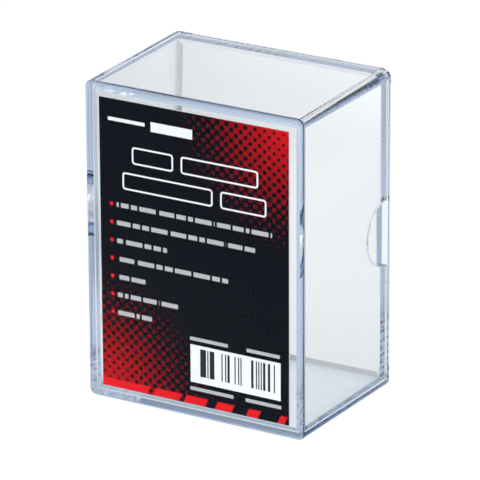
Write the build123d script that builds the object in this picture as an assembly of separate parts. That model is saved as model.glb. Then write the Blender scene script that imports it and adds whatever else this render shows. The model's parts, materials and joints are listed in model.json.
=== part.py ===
from build123d import *
import os

# Two-piece clear deck box. A cover slides over a tray from the front, and the tray's back plate
# closes the cover's open end. A printed card stands loose behind the front panel.
# Millimetres. +X right, +Y from the front panel to the back plate, +Z up.
# Origin: middle of the closed box's footprint, on the plane it stands on.

# --- what the box holds -------------------------------------------------------------------------
card_width = 63.5          # standard trading card
card_height = 88.9
card_side_room = 1.6       # free space left and right of a card
card_end_room = 1.6        # free space above and below a card
stack_depth = 45.5         # length of the pocket from its mouth to the back plate

# --- walls and fits -----------------------------------------------------------------------------
cover_wall = 1.9
front_panel = 2.2
tray_wall = 1.9            # where it meets the back plate
back_plate = 2.4
flange_edge = 1.6          # the part of the back plate that shows round the cover's rim
slide_gap = 0.15           # between the cover's inside and the tray's outside, all round
mouth_gap = 0.3            # between the tray's mouth and the front panel
rim_gap = 0.05             # between the cover's rim and the flange
mould_draft = 0.87         # degrees; both shells get narrower towards the front

# --- rounded edges ------------------------------------------------------------------------------
outer_round = 2.9          # the four long edges, at the back
cover_inner_round = 1.5
pocket_round = 0.5
pocket_floor_chamfer = 1.25    # where the pocket's walls meet the back plate
front_round = 0.8          # round the front panel's outline
back_round = 0.4           # round the back plate's outline

# --- thumb notches in the cover's side walls ------------------------------------------------------
notch_radius = 10.1
notch_straight = 1.2       # from the rim to the centre of the notch's half circle
notch_lip_round = 1.0      # where the notch runs into the rim

# --- printed card -------------------------------------------------------------------------------
insert_thickness = 0.4
insert_side_room = 3.2     # how much narrower it is than the pocket
insert_end_room = 1.7      # how much shorter it is than the pocket
insert_left_room = 0.9     # between its left edge and the pocket's wall
insert_foot = 0.2          # between its lower edge and the pocket's lower wall
insert_slip = 0.05         # between the card and the front panel it leans on

# --- sizes that follow ----------------------------------------------------------------------------
pocket_width = card_width + 2 * card_side_room
pocket_height = card_height + 2 * card_end_room
tray_width = pocket_width + 2 * tray_wall
tray_height = pocket_height + 2 * tray_wall
sleeve_width = tray_width + 2 * slide_gap
sleeve_height = tray_height + 2 * slide_gap
box_width = sleeve_width + 2 * cover_wall
box_height = sleeve_height + 2 * cover_wall
box_depth = front_panel + mouth_gap + stack_depth + back_plate

front_y = -box_depth / 2
back_y = box_depth / 2
flange_y = back_y - flange_edge
plate_y = back_y - back_plate
chamfer_y = plate_y - pocket_floor_chamfer
rim_y = flange_y - rim_gap
panel_y = front_y + front_panel
mouth_y = panel_y + mouth_gap
mid_z = box_height / 2
tray_outer_round = cover_inner_round - slide_gap
insert_width = pocket_width - insert_side_room
insert_height = pocket_height - insert_end_room
insert_y = panel_y + insert_slip + insert_thickness / 2
foot_reach = pocket_floor_chamfer - insert_foot
insert_travel = plate_y - foot_reach - insert_y - insert_thickness / 2
OVERRUN = 1.0              # how far a cutter passes the face it opens
SAME = 0.001               # two places closer than this are the same place


def drawn_block(width, height, corner, start_y, end_y):
    """Rounded block, width by height at the back plate's face, narrower by the draft towards
    end_y, which is nearer the front."""
    section = Plane(origin=(0, back_y, mid_z), x_dir=(1, 0, 0), z_dir=(0, -1, 0))
    whole = extrude(section * RectangleRounded(width, height, corner), back_y - end_y, taper=mould_draft)
    if start_y == back_y:
        return whole
    keep = Pos(0, (start_y + end_y) / 2, mid_z) * Box(2 * width, start_y - end_y, 2 * height)
    return whole & keep


def pocket_outline(inset, y):
    """The pocket's outline at y, drawn in by inset. The pocket has no draft."""
    section = Plane(origin=(0, y, mid_z), x_dir=(1, 0, 0), z_dir=(0, -1, 0))
    return section * RectangleRounded(pocket_width - 2 * inset, pocket_height - 2 * inset, pocket_round)


def outline_edges(solid, y):
    """The outer outline of the face that lies square to Y at y."""
    face = max(solid.faces().filter_by(Axis.Y), key=lambda f: -abs(f.center().Y - y))
    return face.outer_wire().edges()


def notch_cutter():
    """Round-ended slot through both side walls, open at the rim."""
    run = notch_straight + OVERRUN
    side = Plane(origin=(0, rim_y - notch_straight, mid_z), x_dir=(0, 1, 0), z_dir=(1, 0, 0))
    slot = Circle(notch_radius) + Pos(run / 2, 0) * Rectangle(run, 2 * notch_radius)
    return extrude(side * slot, box_width, both=True)


def notch_corners(shell):
    """The short edges where the notches' straight sides meet the rim."""
    across = shell.edges().filter_by(Axis.X)
    on_rim = across.filter_by_position(Axis.Y, rim_y - SAME, rim_y + SAME)
    return on_rim.filter_by_position(Axis.Z, mid_z - notch_radius - SAME, mid_z + notch_radius + SAME)


def make_cover():
    """Five-sided shell: front panel and four walls, open at the back."""
    shell = drawn_block(box_width, box_height, outer_round, rim_y, front_y)
    shell = fillet(outline_edges(shell, front_y), front_round)
    shell -= drawn_block(sleeve_width, sleeve_height, cover_inner_round, back_y, panel_y)
    shell -= notch_cutter()
    return fillet(notch_corners(shell), notch_lip_round)


def make_pocket():
    """The space for the cards, narrower at 45 degrees just before the back plate."""
    straight = extrude(pocket_outline(0, chamfer_y), chamfer_y - mouth_y + OVERRUN)
    ending = loft([pocket_outline(0, chamfer_y), pocket_outline(pocket_floor_chamfer, plate_y)], ruled=True)
    return straight + ending


def make_tray():
    """Pocket that holds the cards, with the back plate that closes the cover."""
    plate = drawn_block(box_width, box_height, outer_round, back_y, flange_y)
    plate = fillet(outline_edges(plate, back_y), back_round)
    walls = drawn_block(tray_width, tray_height, tray_outer_round, back_y - flange_edge / 2, mouth_y)
    return plate + walls - make_pocket()


def make_insert_card():
    """Printed card: stands in the pocket's mouth, leaning on the front panel."""
    left_x = -pocket_width / 2 + insert_left_room
    bottom_z = mid_z - pocket_height / 2 + insert_foot
    middle = (left_x + insert_width / 2, insert_y, bottom_z + insert_height / 2)
    return Pos(*middle) * Box(insert_width, insert_thickness, insert_height)


os.makedirs("parts", exist_ok=True)
pieces = {
    "cover": make_cover(),
    "tray": make_tray(),
    "insert_card": make_insert_card(),
}
for name, piece in pieces.items():
    export_step(piece, f"parts/{name}.step")

print(f"closed box {box_width:.2f} x {box_depth:.2f} x {box_height:.2f} mm")
print(f"cover travel to clear the tray: over {rim_y - mouth_y:.2f} mm")
print(f"insert card travel, until its foot meets the pocket's chamfer: {insert_travel:.2f} mm")
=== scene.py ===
import json
import math

import bmesh
import bpy
from mathutils import Matrix, Vector

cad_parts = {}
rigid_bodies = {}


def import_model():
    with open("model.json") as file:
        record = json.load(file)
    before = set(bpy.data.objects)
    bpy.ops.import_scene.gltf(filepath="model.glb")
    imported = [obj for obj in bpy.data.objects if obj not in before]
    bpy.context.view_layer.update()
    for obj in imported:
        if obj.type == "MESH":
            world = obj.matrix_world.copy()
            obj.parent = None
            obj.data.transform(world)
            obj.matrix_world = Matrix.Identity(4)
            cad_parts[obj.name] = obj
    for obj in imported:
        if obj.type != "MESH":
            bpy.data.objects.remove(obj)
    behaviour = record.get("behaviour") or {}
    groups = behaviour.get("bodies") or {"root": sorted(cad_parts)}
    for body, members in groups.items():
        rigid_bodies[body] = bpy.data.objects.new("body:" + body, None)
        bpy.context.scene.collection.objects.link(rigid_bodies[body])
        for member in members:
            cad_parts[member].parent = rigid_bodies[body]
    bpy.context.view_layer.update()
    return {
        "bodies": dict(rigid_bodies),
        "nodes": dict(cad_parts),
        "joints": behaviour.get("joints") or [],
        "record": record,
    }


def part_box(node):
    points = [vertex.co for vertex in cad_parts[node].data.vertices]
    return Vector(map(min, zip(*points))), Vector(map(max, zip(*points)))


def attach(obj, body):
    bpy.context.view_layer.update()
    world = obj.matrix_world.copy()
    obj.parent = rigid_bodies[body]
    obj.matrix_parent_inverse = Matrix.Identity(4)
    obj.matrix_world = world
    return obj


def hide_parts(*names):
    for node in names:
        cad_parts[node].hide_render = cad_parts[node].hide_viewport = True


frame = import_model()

scene = bpy.context.scene
MM = 0.001

# --- the box's own sizes, in metres ---------------------------------------------------------------
DRAFT = math.tan(math.radians(0.87))    # both shells get narrower towards the front
WALL = 1.9 * MM                         # cover walls, and tray walls where they meet the plate
FRONT_PANEL = 2.2 * MM
BACK_PLATE = 2.4 * MM
SLIDE_GAP = 0.15 * MM
CORNER = 2.9 * MM                       # the four long outer edges
SLEEVE_CORNER = 1.5 * MM                # the same edges inside the cover
POCKET_CORNER = 0.5 * MM
POCKET_CHAMFER = 1.25 * MM              # where the pocket's walls run into the back plate
FRONT_ROUND = 0.8 * MM
BACK_ROUND = 0.4 * MM
FLANGE_EDGE = 1.6 * MM
NOTCH_RADIUS = 10.1 * MM
NOTCH_STRAIGHT = 1.2 * MM
NOTCH_LIP = 1.0 * MM
EDGE_BREAK = 0.1 * MM                   # the soft break on every other moulded edge
CARD_CORNER = 0.3 * MM
CARD_EDGE_BREAK = 0.05 * MM
CORNER_STEPS = 10
FILLET_STEPS = 6
SHARP = math.radians(40)                # edges that turn more than this get the soft break
SAME_POINT = 0.0001 * MM                # points closer than this are one point

cover_low, cover_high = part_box("cover")
tray_low, tray_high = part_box("tray")
card_low, card_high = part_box("insert_card")
front_y, rim_y = cover_low.y, cover_high.y
mouth_y, back_y = tray_low.y, tray_high.y
panel_y = front_y + FRONT_PANEL
flange_y = back_y - FLANGE_EDGE
plate_y = back_y - BACK_PLATE
mid_z = (tray_low.z + tray_high.z) / 2
box_width = 2 * (tray_high.x + BACK_ROUND * DRAFT)
box_height = tray_high.z - tray_low.z + 2 * BACK_ROUND * DRAFT
sleeve_inset = WALL                     # from the box's outline to the cover's inside
tray_inset = WALL + SLIDE_GAP
pocket_inset = 2 * WALL + SLIDE_GAP


# --- mesh helpers ---------------------------------------------------------------------------------
def outline(bm, width, height, corner, y):
    """A rounded rectangle square to Y, as one face."""
    upright = Matrix.Translation((0, y, mid_z)) @ Matrix.Rotation(math.pi / 2, 4, "X")
    sized = upright @ Matrix.Diagonal((width, height, 1, 1))
    made = bmesh.ops.create_grid(bm, x_segments=1, y_segments=1, size=0.5, matrix=sized)
    rounded = bmesh.ops.bevel(bm, geom=made["verts"], offset=corner, offset_type="OFFSET", profile=0.5,
                              segments=CORNER_STEPS, affect="VERTICES", clamp_overlap=False, material=-1)
    return next(face for face in bm.faces if set(rounded["verts"]) <= set(face.verts))


def drawn_outline(bm, inset, corner, y):
    """The outline at y of a shell that lies inset inside the box and narrows with the draft."""
    narrowing = (back_y - y) * DRAFT
    side = 2 * (inset + narrowing)
    return outline(bm, box_width - side, box_height - side, corner - narrowing, y)


def join_outlines(bm, first, second):
    bmesh.ops.bridge_loops(bm, edges=list(first) + list(second))


def join_level_outlines(bm, first, second):
    """Joins two outlines in one plane. The second is lifted meanwhile, to give the bridge a direction."""
    lifted = list({v for edge in second for v in edge.verts})
    bmesh.ops.translate(bm, verts=lifted, vec=(0, MM, 0))
    join_outlines(bm, first, second)
    bmesh.ops.translate(bm, verts=lifted, vec=(0, -MM, 0))


def open_edges(bm, face):
    """The face's outline, with the face itself taken out."""
    edges = list(face.edges)
    bmesh.ops.delete(bm, geom=[face], context="FACES_ONLY")
    return edges


def round_edges(bm, edges, radius, steps):
    bmesh.ops.bevel(bm, geom=list(edges), offset=radius, offset_type="OFFSET", profile=0.5, segments=steps,
                    affect="EDGES", clamp_overlap=False, material=-1)


def finished(bm, name):
    """A shown object made from a closed bmesh."""
    bmesh.ops.remove_doubles(bm, verts=bm.verts, dist=SAME_POINT)
    bmesh.ops.recalc_face_normals(bm, faces=bm.faces)
    for face in bm.faces:
        face.smooth = True
    mesh = bpy.data.meshes.new(name)
    bm.to_mesh(mesh)
    bm.free()
    piece = bpy.data.objects.new(name, mesh)
    scene.collection.objects.link(piece)
    return piece


def apply_modifiers(piece):
    """Bakes the piece's modifiers into its mesh."""
    bpy.context.view_layer.update()
    seen = piece.evaluated_get(bpy.context.evaluated_depsgraph_get())
    mesh = bpy.data.meshes.new_from_object(seen)
    piece.modifiers.clear()
    piece.data = mesh


def break_edges(piece, width):
    """Small soft edges all over, with flat faces that stay flat."""
    bevel = piece.modifiers.new("edge_break", "BEVEL")
    bevel.width = width
    bevel.segments = 2
    bevel.limit_method = "ANGLE"
    bevel.angle_limit = SHARP
    shading = piece.modifiers.new("flat_faces", "WEIGHTED_NORMAL")
    shading.mode = "FACE_AREA"
    shading.weight = 90
    apply_modifiers(piece)


# --- cover ----------------------------------------------------------------------------------------
def notch_cutter():
    """A round-ended slot through both side walls, open at the rim."""
    bm = bmesh.new()
    end_y = rim_y - NOTCH_STRAIGHT - NOTCH_RADIUS
    length = rim_y + NOTCH_RADIUS - end_y
    middle = Matrix.Translation((-box_width, end_y + length / 2, mid_z))
    across = middle @ Matrix.Rotation(math.pi / 2, 4, "Y")
    sized = across @ Matrix.Diagonal((2 * NOTCH_RADIUS, length, 1, 1))
    made = bmesh.ops.create_grid(bm, x_segments=1, y_segments=1, size=0.5, matrix=sized)
    inner = [v for v in made["verts"] if v.co.y < rim_y]
    nearly_half = 0.999                 # the two rounds stay just apart
    bmesh.ops.bevel(bm, geom=inner, offset=NOTCH_RADIUS * nearly_half, offset_type="OFFSET", profile=0.5,
                    segments=4 * CORNER_STEPS, affect="VERTICES", clamp_overlap=False, material=-1)
    grown = bmesh.ops.extrude_face_region(bm, geom=list(bm.faces))
    moved = [v for v in grown["geom"] if isinstance(v, bmesh.types.BMVert)]
    bmesh.ops.translate(bm, verts=moved, vec=(2 * box_width, 0, 0))
    return finished(bm, "notch_cutter")


def cut_notches(shell):
    """Cuts the thumb notches and rounds the lips where they run into the rim."""
    cutter = notch_cutter()
    cut = shell.modifiers.new("notches", "BOOLEAN")
    cut.operation = "DIFFERENCE"
    cut.solver = "EXACT"
    cut.object = cutter
    apply_modifiers(shell)
    bpy.data.objects.remove(cutter)
    bm = bmesh.new()
    bm.from_mesh(shell.data)
    bmesh.ops.remove_doubles(bm, verts=bm.verts, dist=10 * SAME_POINT)
    near = 0.02 * MM
    lips = [e for e in bm.edges if all(abs(v.co.y - rim_y) < near for v in e.verts)
            and all(abs(abs(v.co.z - mid_z) - NOTCH_RADIUS) < 10 * near for v in e.verts)
            and abs(e.verts[0].co.x - e.verts[1].co.x) > WALL / 2]
    round_edges(bm, lips, NOTCH_LIP, FILLET_STEPS)
    for face in bm.faces:
        face.smooth = True
    bm.to_mesh(shell.data)
    bm.free()


def make_cover():
    """Five-sided shell: front panel and four walls, open at the back."""
    bm = bmesh.new()
    outer_rim = open_edges(bm, drawn_outline(bm, 0, CORNER, rim_y))
    front = drawn_outline(bm, 0, CORNER, front_y)
    front_edges = list(front.edges)
    join_outlines(bm, outer_rim, front_edges)
    round_edges(bm, front_edges, FRONT_ROUND, FILLET_STEPS)
    inner_rim = open_edges(bm, drawn_outline(bm, sleeve_inset, SLEEVE_CORNER, rim_y))
    panel = drawn_outline(bm, sleeve_inset, SLEEVE_CORNER, panel_y)
    join_outlines(bm, inner_rim, panel.edges)
    join_level_outlines(bm, outer_rim, inner_rim)
    shell = finished(bm, "clear_cover")
    cut_notches(shell)
    break_edges(shell, EDGE_BREAK)
    return shell


# --- tray -----------------------------------------------------------------------------------------
def pocket_outline(bm, inset, y):
    """The pocket's outline at y, drawn in by inset. The pocket has no draft."""
    side = 2 * (pocket_inset + inset)
    return outline(bm, box_width - side, box_height - side, POCKET_CORNER, y)


def make_tray():
    """Back plate with its flange, four walls, and the pocket that they leave."""
    bm = bmesh.new()
    back = drawn_outline(bm, 0, CORNER, back_y)
    back_edges = list(back.edges)
    flange = open_edges(bm, drawn_outline(bm, 0, CORNER, flange_y))
    join_outlines(bm, back_edges, flange)
    round_edges(bm, back_edges, BACK_ROUND, FILLET_STEPS)
    tray_corner = SLEEVE_CORNER - SLIDE_GAP
    wall_foot = open_edges(bm, drawn_outline(bm, tray_inset, tray_corner, flange_y))
    wall_lip = open_edges(bm, drawn_outline(bm, tray_inset, tray_corner, mouth_y))
    join_level_outlines(bm, flange, wall_foot)
    join_outlines(bm, wall_foot, wall_lip)
    ring = open_edges(bm, pocket_outline(bm, 0, mouth_y))
    join_level_outlines(bm, wall_lip, ring)
    chamfer = open_edges(bm, pocket_outline(bm, 0, plate_y - POCKET_CHAMFER))
    floor = pocket_outline(bm, POCKET_CHAMFER, plate_y)
    join_outlines(bm, ring, chamfer)
    join_outlines(bm, chamfer, floor.edges)
    tray = finished(bm, "clear_tray")
    break_edges(tray, EDGE_BREAK)
    return tray


# --- insert card ----------------------------------------------------------------------------------
def make_insert_card():
    """Die-cut card, printed on the side that faces the front panel."""
    bm = bmesh.new()
    width, height = card_high.x - card_low.x, card_high.z - card_low.z
    face = outline(bm, width, height, CARD_CORNER, card_low.y)
    shift = Vector((card_low.x + width / 2, 0, card_low.z + height / 2 - mid_z))
    grown = bmesh.ops.extrude_face_region(bm, geom=[face])
    moved = [v for v in grown["geom"] if isinstance(v, bmesh.types.BMVert)]
    bmesh.ops.translate(bm, verts=moved, vec=(0, card_high.y - card_low.y, 0))
    bmesh.ops.translate(bm, verts=bm.verts, vec=shift)
    card = finished(bm, "printed_insert")
    break_edges(card, CARD_EDGE_BREAK)
    return card


# --- materials ------------------------------------------------------------------------------------
def new_material(name):
    """An empty node material: the material, its node tree and its output."""
    material = bpy.data.materials.new(name)
    material.use_nodes = True
    tree = material.node_tree
    tree.nodes.clear()
    return material, tree, tree.nodes.new("ShaderNodeOutputMaterial")


PLASTIC_IOR = 1.58                      # polystyrene
PLASTIC_FACE = (0.985, 0.99, 0.995, 1)
PLASTIC_SHADOW = (0.93, 0.95, 0.97, 1)  # what lamp light keeps of its colour through one piece
PLASTIC_BODY = (0.0, 0.27, 0.62, 1)     # the blue that a very long path tends to
PLASTIC_DENSITY = 11.0                  # how fast it gets there, per metre
WAVES_PER_METRE = 90
WAVE_DEPTH = 0.006 * MM


def moulding_waves(tree, shader):
    """The faint unevenness of a moulded face."""
    place = tree.nodes.new("ShaderNodeTexCoord")
    waves = tree.nodes.new("ShaderNodeTexNoise")
    waves.inputs["Scale"].default_value = WAVES_PER_METRE
    waves.inputs["Detail"].default_value = 1
    bump = tree.nodes.new("ShaderNodeBump")
    bump.inputs["Strength"].default_value = 0.5
    bump.inputs["Distance"].default_value = WAVE_DEPTH
    tree.links.new(place.outputs["Object"], waves.inputs["Vector"])
    tree.links.new(waves.outputs[0], bump.inputs["Height"])
    tree.links.new(bump.outputs["Normal"], shader.inputs["Normal"])


def clear_plastic(name):
    """Polished clear polystyrene. It bends light, guides it along its walls and takes red and green
    out of a long path; lamp light goes through it to what is behind."""
    material, tree, output = new_material(name)
    shader = tree.nodes.new("ShaderNodeBsdfPrincipled")
    shader.inputs["Base Color"].default_value = PLASTIC_FACE
    shader.inputs["Roughness"].default_value = 0.0
    shader.inputs["IOR"].default_value = PLASTIC_IOR
    shader.inputs["Transmission Weight"].default_value = 1.0
    shader.inputs["Specular Tint"].default_value = (0, 0, 0, 1)
    moulding_waves(tree, shader)
    through = tree.nodes.new("ShaderNodeBsdfTransparent")
    through.inputs["Color"].default_value = PLASTIC_SHADOW
    path = tree.nodes.new("ShaderNodeLightPath")
    mix = tree.nodes.new("ShaderNodeMixShader")
    tree.links.new(path.outputs["Is Shadow Ray"], mix.inputs[0])
    tree.links.new(shader.outputs[0], mix.inputs[1])
    tree.links.new(through.outputs[0], mix.inputs[2])
    tree.links.new(mix.outputs[0], output.inputs["Surface"])
    absorb = tree.nodes.new("ShaderNodeVolumeAbsorption")
    absorb.inputs["Color"].default_value = PLASTIC_BODY
    absorb.inputs["Density"].default_value = PLASTIC_DENSITY
    tree.links.new(absorb.outputs[0], output.inputs["Volume"])
    return material


class Field:
    """A number that varies over a surface. Arithmetic on it adds the Math nodes that work it out."""

    def __init__(self, tree, socket):
        self.tree = tree
        self.socket = socket

    def math(self, operation, *others):
        node = self.tree.nodes.new("ShaderNodeMath")
        node.operation = operation
        for slot, value in zip(node.inputs, (self, *others)):
            if isinstance(value, Field):
                self.tree.links.new(value.socket, slot)
            else:
                slot.default_value = value
        return Field(self.tree, node.outputs[0])

    def __add__(self, other):
        return self.math("ADD", other)

    def __sub__(self, other):
        return self.math("SUBTRACT", other)

    def __mul__(self, other):
        return self.math("MULTIPLY", other)

    def __truediv__(self, other):
        return self.math("DIVIDE", other)

    def __abs__(self):
        return self.math("ABSOLUTE")

    def __lt__(self, other):
        return self.math("LESS_THAN", other)

    def __gt__(self, other):
        return self.math("GREATER_THAN", other)

    def __or__(self, other):
        return self.math("MAXIMUM", other)

    def __and__(self, other):
        return self.math("MINIMUM", other)

    def within(self, low, high):
        return (self > low) & (self < high)

    def distance(self, other, x, y):
        """How far the point (self, other) is from (x, y)."""
        dx, dy = self - x, other - y
        return (dx * dx + dy * dy).math("SQRT")


# The print, in mm from the card's lower left corner. u runs right and v runs up. A box is its left,
# right, bottom and top, and boxes of one height are listed without their top.
DOT_PITCH = 3.13
DOT_REACH = 43.0                        # how far from its corner the red has faded out
DOT_FADE = 1.5                          # more than 1 fades fast at first
DOT_TONE = (0.88, -0.0125, -0.00022)    # the red's share of the area: at the corner, per mm, per mm2
UPPER_DOTS, LOWER_DOTS = 0.74, 2.3      # how far right each field of dots starts
BAR_SLANT = 0.49                        # how far the bars lean right per mm of height
BAR_BOTTOM, BAR_TOP = 0.1, 2.6
FIRST_BAR_END, NEXT_BAR = 15.3, 17.1
BAR_PITCH, BAR_LENGTH = 10.6, 9.0
BAR_SHRINK = 1.67                       # each bar is this much shorter than the one before
SHORTER_BARS = 5
TEXT_LEFT, TEXT_TOP_LINE = 5.6, 57.9
TEXT_PITCH, TEXT_HALF = 5.64, 0.7       # from line to line, and half a line's height
TEXT_LENGTHS = (52.3, 47.2, 17, 37.6, 11, 21, 11.6)
WORD_BREAKS = ((6.3, 0.37, 0.12), (9.7, 0.61, 0.08))    # pitch, start per line, bare share
BULLET_U, BULLET_RADIUS = 3.85, 0.6
SMALL_TEXT = ((30.2, 43, 20.3), (49.3, 60.4, 20.3), (30.2, 44.8, 4.6), (48.9, 60.9, 4.6))
SMALL_TEXT_HEIGHT = 1.1
HEADING = ((11, 25, 71.3), (27.5, 53.4, 71.3), (7.7, 38.2, 63), (40.7, 56.1, 63))
HEADING_HEIGHT, HEADING_CORNER, HEADING_STROKE = 5.4, 1.1, 0.55
MAKER_BARS = ((3, 15.5, 83.6, 84.7), (17.5, 31.5, 82.4, 85.4))
PANEL = (30.3, 60.7, 7.15, 19.0)
STRIPES = (32.8, 58.8, 9.3, 18.0)
STRIPE_WIDTH = 0.4                      # of the narrowest stripe

# Its inks: the share of the light that each sends back.
DOT_RED, SOLID_RED = 0.66, 0.87
RED_INK = {"Red": 1, "Green": 0.013, "Blue": 0.02}
BLACK_INK = {"Red": 0.0022, "Green": 0.0036, "Blue": 0.0072}
HEADING_WHITE, TEXT_WHITE, PANEL_WHITE = 0.98, 0.56, 1.0
STRIPE_INK = 0.97                       # how much of the panel's white a stripe takes away


def either(masks):
    """1 wherever one of the masks is."""
    joined, *others = masks
    for mask in others:
        joined = joined | mask
    return joined


def rectangle(u, v, left, right, bottom, top):
    return u.within(left, right) & v.within(bottom, top)


def rounded_frame(u, v, left, right, bottom):
    """The thin outline of a rounded rectangle."""
    half_width = (right - left) / 2
    half_height = HEADING_HEIGHT / 2
    x = abs(u - (left + half_width)) - (half_width - HEADING_CORNER)
    y = abs(v - (bottom + half_height)) - (half_height - HEADING_CORNER)
    edge = (x | 0).distance(y | 0, 0, 0) + ((x | y) & 0) - HEADING_CORNER
    return abs(edge + HEADING_STROKE / 2) < HEADING_STROKE / 2


def halftone(u, v, corner_u, corner_v, start):
    """Dots that fade away from one corner of the card, as the ink that each spot holds."""
    at_corner, per_mm, per_mm2 = DOT_TONE
    far = u.distance(v, corner_u, corner_v)
    tone = far * per_mm + far * far * per_mm2 + at_corner
    turn = math.tau / DOT_PITCH
    wave = ((u - start) * turn).math("COSINE") * (v * turn).math("COSINE")
    ink = (far / -DOT_REACH + 1) | 0
    return (wave < tone * 2 - 1) * ink


def slanted_bars(u, v):
    """One long bar from the left edge, then bars that get shorter."""
    slant = u - v * BAR_SLANT
    bars = [slant.within(-BAR_TOP, FIRST_BAR_END)]
    for bar in range(SHORTER_BARS):
        start = NEXT_BAR + BAR_PITCH * bar
        bars.append(slant.within(start, start + BAR_LENGTH - BAR_SHRINK * bar))
    return either(bars) & v.within(BAR_BOTTOM, BAR_TOP)


def text_lines(u, v):
    """Broken bars in place of words, and the bullets in front of them."""
    words, bullets = [], []
    for row, length in enumerate(TEXT_LENGTHS):
        middle = TEXT_TOP_LINE - row * TEXT_PITCH
        bullets.append(u.distance(v, BULLET_U, middle) < BULLET_RADIUS)
        line = rectangle(u, v, TEXT_LEFT, TEXT_LEFT + length, middle - TEXT_HALF, middle + TEXT_HALF)
        for pitch, start, bare in WORD_BREAKS:
            line = line & ((u / pitch + start * row).math("FRACT") > bare)
        words.append(line)
    for left, right, bottom in SMALL_TEXT:
        words.append(rectangle(u, v, left, right, bottom, bottom + SMALL_TEXT_HEIGHT))
    return either(words), either(bullets)


def made_up_stripes(tree, u, v):
    """Upright stripes of chance widths that stand for no number."""
    noise = tree.nodes.new("ShaderNodeTexWhiteNoise")
    noise.noise_dimensions = "1D"
    tree.links.new((u / STRIPE_WIDTH).math("FLOOR").socket, noise.inputs["W"])
    return (Field(tree, noise.outputs["Value"]) > 0.5) & rectangle(u, v, *STRIPES)


def print_card(name, width, height):
    """Near-black card with red dots fading from two corners, a row of slanted red bars along the
    bottom, and plain white shapes where such a card has words."""
    material, tree, output = new_material(name)
    place = tree.nodes.new("ShaderNodeTexCoord")
    split = tree.nodes.new("ShaderNodeSeparateXYZ")
    tree.links.new(place.outputs["Object"], split.inputs[0])
    u = (Field(tree, split.outputs["X"]) - card_low.x) / MM
    v = (Field(tree, split.outputs["Z"]) - card_low.z) / MM

    dots = halftone(u, v, width, height, UPPER_DOTS) | halftone(u, v, 0, 0, LOWER_DOTS)
    words, bullets = text_lines(u, v)
    red = (dots.math("POWER", DOT_FADE) * DOT_RED) | ((slanted_bars(u, v) | bullets) * SOLID_RED)
    heading = either([rounded_frame(u, v, *frame) for frame in HEADING])
    heading = heading | either([rectangle(u, v, *bar) for bar in MAKER_BARS])
    white = (heading * HEADING_WHITE) | (words * TEXT_WHITE) | (rectangle(u, v, *PANEL) * PANEL_WHITE)
    bare = made_up_stripes(tree, u, v) * -STRIPE_INK + 1

    colour = tree.nodes.new("ShaderNodeCombineColor")
    for channel, black in BLACK_INK.items():
        value = ((red * RED_INK[channel]) | black | white) * bare
        tree.links.new(value.socket, colour.inputs[channel])
    shader = tree.nodes.new("ShaderNodeBsdfPrincipled")
    shader.inputs["Roughness"].default_value = 0.4
    shader.inputs["Specular IOR Level"].default_value = 0.02
    tree.links.new(colour.outputs[0], shader.inputs["Base Color"])
    tree.links.new(shader.outputs[0], output.inputs["Surface"])
    return material


FIBRES_PER_METRE = 2500
BOARD_DARKEST, BOARD_LIGHTEST = (0.80, 0.80, 0.79, 1), (0.90, 0.90, 0.89, 1)


def card_back(name):
    """Uncoated white board with a faint fibre."""
    material, tree, output = new_material(name)
    place = tree.nodes.new("ShaderNodeTexCoord")
    fibre = tree.nodes.new("ShaderNodeTexNoise")
    fibre.inputs["Scale"].default_value = FIBRES_PER_METRE
    fibre.inputs["Detail"].default_value = 4
    ramp = tree.nodes.new("ShaderNodeValToRGB")
    ramp.color_ramp.elements[0].color = BOARD_DARKEST
    ramp.color_ramp.elements[1].color = BOARD_LIGHTEST
    shader = tree.nodes.new("ShaderNodeBsdfPrincipled")
    shader.inputs["Roughness"].default_value = 0.85
    tree.links.new(place.outputs["Object"], fibre.inputs["Vector"])
    tree.links.new(fibre.outputs[0], ramp.inputs["Fac"])
    tree.links.new(ramp.outputs["Color"], shader.inputs["Base Color"])
    tree.links.new(shader.outputs[0], output.inputs["Surface"])
    return material


# --- the three pieces -----------------------------------------------------------------------------
def place_piece(piece, node, slot, *materials):
    """The piece stands for the CAD node and moves with that node's body. slot is not used."""
    for material in materials:
        piece.data.materials.append(material)
    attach(piece, node)
    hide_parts(node)


cover = make_cover()
tray = make_tray()
card = make_insert_card()
place_piece(cover, "cover", "cover_plastic", clear_plastic("clear_polystyrene_cover"))
place_piece(tray, "tray", "tray_plastic", clear_plastic("clear_polystyrene_tray"))
card_size = (card_high - card_low) / MM
place_piece(card, "insert_card", "printed_card", card_back("white_board"),
            print_card("printed_board", card_size.x, card_size.z))
for polygon in card.data.polygons:
    faces_front = polygon.normal.y < -0.9
    polygon.material_index = int(faces_front)


# --- floor, light and camera ----------------------------------------------------------------------
FLOOR_HALF = 4                          # metres
TABLE_SEEN = 0.97                       # how bright the table looks where nothing covers it
TABLE_LEVEL = 0.89                      # and how bright it is for what the plastic shows of it
# the colour of the painted light and shade that the plastic shows of the table
LIT_PATCH_TINT = {"Red": 0.985, "Green": 1.0, "Blue": 1.0}
UNDER_BOX_SHADE_TINT = {"Red": -0.06, "Green": -0.015, "Blue": 0.03}      # painted blue shade, added under the box
TABLE_MATT = (0.04, 0.04, 0.04, 1)
FOOT_SHADOW, FOOT_SHADOW_REACH = -0.40, 0.012
TOUCHING = 0.1 * MM                     # nearer the footprint than this is under the box
CARD_SHADE = -0.30
SIGHT_SLANT = 0.589                     # how far left the camera's sight runs per metre it runs back
DOME_LOW = 0.18                         # light from low down, which the plain sides leave out
DOME_SIDES = (0.6, 0.71, 0.41, 0.45, 0.45)      # from the right, left, back, front and above
SOFTBOX_SIZE = 0.8
FRONT_WATTS, BACK_WATTS = 12, 6
LIGHT_BOUNCES = 48


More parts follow.
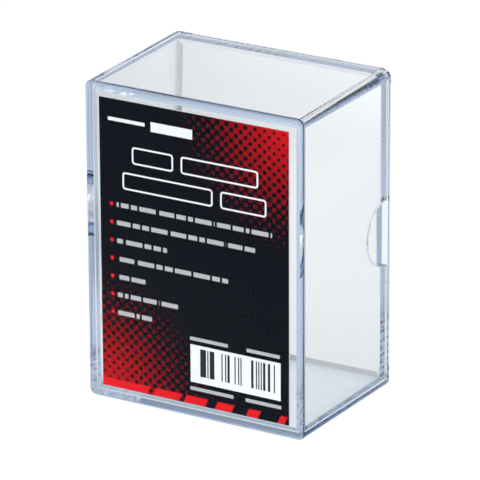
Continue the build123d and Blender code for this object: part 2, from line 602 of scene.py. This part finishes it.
def soft_step(field, low, high):
    """0 below low, 1 above high, smooth between."""
    ramp = field.tree.nodes.new("ShaderNodeMapRange")
    ramp.interpolation_type = "SMOOTHSTEP"
    ramp.inputs["From Min"].default_value = low
    ramp.inputs["From Max"].default_value = high
    field.tree.links.new(field.socket, ramp.inputs["Value"])
    return Field(field.tree, ramp.outputs[0])


def card_shade(x, y):
    """1 where the card hides the table from the camera, with wide soft edges."""
    behind_card = soft_step((x + y * SIGHT_SLANT) * -1, -0.028, 0)
    sideways = soft_step(x, -0.13, -0.09)
    backwards = soft_step(y, 0.05, 0.10) * soft_step(y * -1, -0.19, -0.14)
    return soft_step(behind_card * sideways * backwards, 0, 1)


def table_level(x, y, beside):
    """How bright the table is for what the plastic shows of it: brighter well behind the box, darker
    to the left behind it and in front, with a soft shade behind the card and a line of shadow round
    the box's foot. beside is the distance from the box's footprint."""
    foot = soft_step(beside * -1, -FOOT_SHADOW_REACH, 0) * (beside > TOUCHING)
    left = (x * -1) * soft_step(y, -0.02, 0.06)
    zones = (   # measured by, where it starts, where it is full, and the change there
        (left, 0.05, 0.16, -0.20),
        (left, 0.14, 0.26, -0.38),
        (x, 0.08, 0.20, 0.21),
        (y, 0.20, 0.40, 0.60),
        (y * -1, 0.05, 0.20, -0.30),
        (beside * -1, -0.08, 0, -0.07),
    )
    level = foot * FOOT_SHADOW + card_shade(x, y) * CARD_SHADE + TABLE_LEVEL
    for field, low, high, change in zones:
        level = level + soft_step(field, low, high) * change
    return level


def white_table():
    """A plain white table. Seen directly it is even, and the plastic bends and mirrors a lit patch."""
    material, tree, output = new_material("white_table")
    place = tree.nodes.new("ShaderNodeTexCoord")
    split = tree.nodes.new("ShaderNodeSeparateXYZ")
    tree.links.new(place.outputs["Object"], split.inputs[0])
    x, y = Field(tree, split.outputs["X"]), Field(tree, split.outputs["Y"])
    beside = ((abs(x) - box_width / 2) | 0).distance((abs(y) - back_y) | 0, 0, 0)
    under = beside < TOUCHING
    path = tree.nodes.new("ShaderNodeLightPath")
    direct = Field(tree, path.outputs["Is Camera Ray"])
    through_plastic = (direct * -1 + 1) * table_level(x, y, beside)
    colour = tree.nodes.new("ShaderNodeCombineColor")
    # under the box the light that the plastic shows of the table gets a painted blue shade
    for channel, tint in LIT_PATCH_TINT.items():
        value = direct * TABLE_SEEN + through_plastic * (under * UNDER_BOX_SHADE_TINT[channel] + tint)
        tree.links.new(value.socket, colour.inputs[channel])
    glow = tree.nodes.new("ShaderNodeEmission")
    tree.links.new(colour.outputs[0], glow.inputs["Color"])
    matt = tree.nodes.new("ShaderNodeBsdfDiffuse")
    matt.inputs["Color"].default_value = TABLE_MATT
    both = tree.nodes.new("ShaderNodeAddShader")
    tree.links.new(matt.outputs[0], both.inputs[0])
    tree.links.new(glow.outputs[0], both.inputs[1])
    tree.links.new(both.outputs[0], output.inputs["Surface"])
    return material


def make_floor():
    bm = bmesh.new()
    bmesh.ops.create_grid(bm, x_segments=1, y_segments=1, size=FLOOR_HALF)
    floor = finished(bm, "floor")
    floor.data.materials.append(white_table())


def light_dome():
    """Soft white light from all round, strongest from the two sides."""
    world = bpy.data.worlds.new("studio")
    scene.world = world
    world.use_nodes = True
    tree = world.node_tree
    place = tree.nodes.new("ShaderNodeTexCoord")
    split = tree.nodes.new("ShaderNodeSeparateXYZ")
    tree.links.new(place.outputs["Generated"], split.inputs[0])
    x, y, z = (Field(tree, split.outputs[axis]) for axis in "XYZ")
    low = z * -1 + 1
    level = low * low * DOME_LOW
    for side, strength in zip((x, x * -1, y, y * -1, z), DOME_SIDES):
        level = level + (side | 0) * strength
    background = tree.nodes["Background"]
    tree.links.new(level.socket, background.inputs["Strength"])
    background.inputs["Color"].default_value = (1, 1, 1, 1)


def add_softbox(name, place, energy):
    """A square lamp that faces the box. The plastic doesn't mirror it."""
    data = bpy.data.lights.new(name, "AREA")
    data.size = SOFTBOX_SIZE
    data.energy = energy
    lamp = bpy.data.objects.new(name, data)
    scene.collection.objects.link(lamp)
    place = Vector(place)
    aim = (Vector((0, 0, mid_z)) - place).to_track_quat("-Z", "Y")
    lamp.matrix_world = Matrix.Translation(place) @ aim.to_matrix().to_4x4()
    lamp.visible_camera = False
    lamp.visible_glossy = False
    lamp.visible_transmission = False


def place_camera():
    """The camera looks down on the front and right side from well back."""
    azimuth, elevation, roll = math.radians(30.53), math.radians(20.79), math.radians(-0.28)
    target = Vector((0.0007, 0, 0.04822))
    distance, lens = 1.388, 354.3
    level = math.cos(elevation)
    back = Vector((math.sin(azimuth) * level, -math.cos(azimuth) * level, math.sin(elevation)))
    right = Vector((math.cos(azimuth), math.sin(azimuth), 0))
    turn = Matrix((right, back.cross(right), back)).transposed().to_4x4()
    data = bpy.data.cameras.new("camera")
    data.lens = lens
    data.sensor_width = 36
    data.clip_end = 20
    camera = bpy.data.objects.new("camera", data)
    scene.collection.objects.link(camera)
    camera.matrix_world = Matrix.Translation(target + back * distance) @ turn @ Matrix.Rotation(roll, 4, "Z")
    scene.camera = camera


make_floor()
light_dome()
add_softbox("front_softbox", (0.35, -1.0, 0.6), FRONT_WATTS)
add_softbox("back_softbox", (-0.3, 1.0, 0.7), BACK_WATTS)
place_camera()
scene.view_settings.view_transform = "Standard"
scene.cycles.max_bounces = LIGHT_BOUNCES
scene.cycles.transmission_bounces = LIGHT_BOUNCES
scene.cycles.glossy_bounces = LIGHT_BOUNCES
scene.cycles.transparent_max_bounces = LIGHT_BOUNCES
